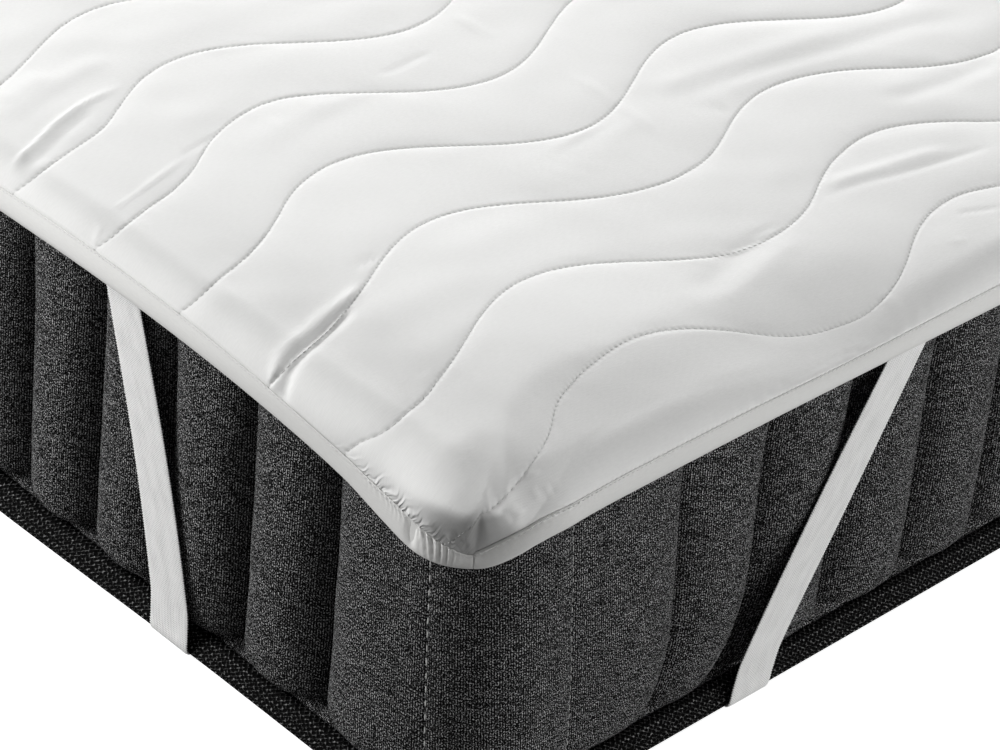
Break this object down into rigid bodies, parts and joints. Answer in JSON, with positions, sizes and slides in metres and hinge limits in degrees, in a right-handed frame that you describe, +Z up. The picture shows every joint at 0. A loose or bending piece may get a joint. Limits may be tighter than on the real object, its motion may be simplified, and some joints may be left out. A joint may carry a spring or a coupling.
{
  "type": "mattress protector on a mattress",
  "caption": "Quilted mattress protector with wavy sewn channels, a bound edge and an elastic band across each corner, fitted on a plain mattress.",
  "frame": {"origin": "centre of the mattress's underside, which is the bottom centre of the bounding box", "axes": "+X along the mattress's length and the quilting lines, +Y across it, +Z up"},
  "size_m": [2.0032, 1.0032, 0.2325],
  "materials": {
    "quilt": "white brushed microfibre, quilted",
    "binding": "white microfibre strip, folded and sewn",
    "elastic": "white ribbed elastic webbing",
    "mattress_knit": "dark grey marled knit, sewn in upright channels",
    "mattress_tape": "black ribbed woven tape"
  },
  "bodies": {
    "root": {"quilted_pad": "quilt", "binding_front": "binding", "binding_back": "binding", "binding_left": "binding", "binding_right": "binding", "elastic_band_a": "elastic", "elastic_band_b": "elastic", "elastic_band_c": "elastic", "elastic_band_d": "elastic", "mattress": "mattress_knit", "mattress_tape": "mattress_tape"}
  },
  "joints": []
}
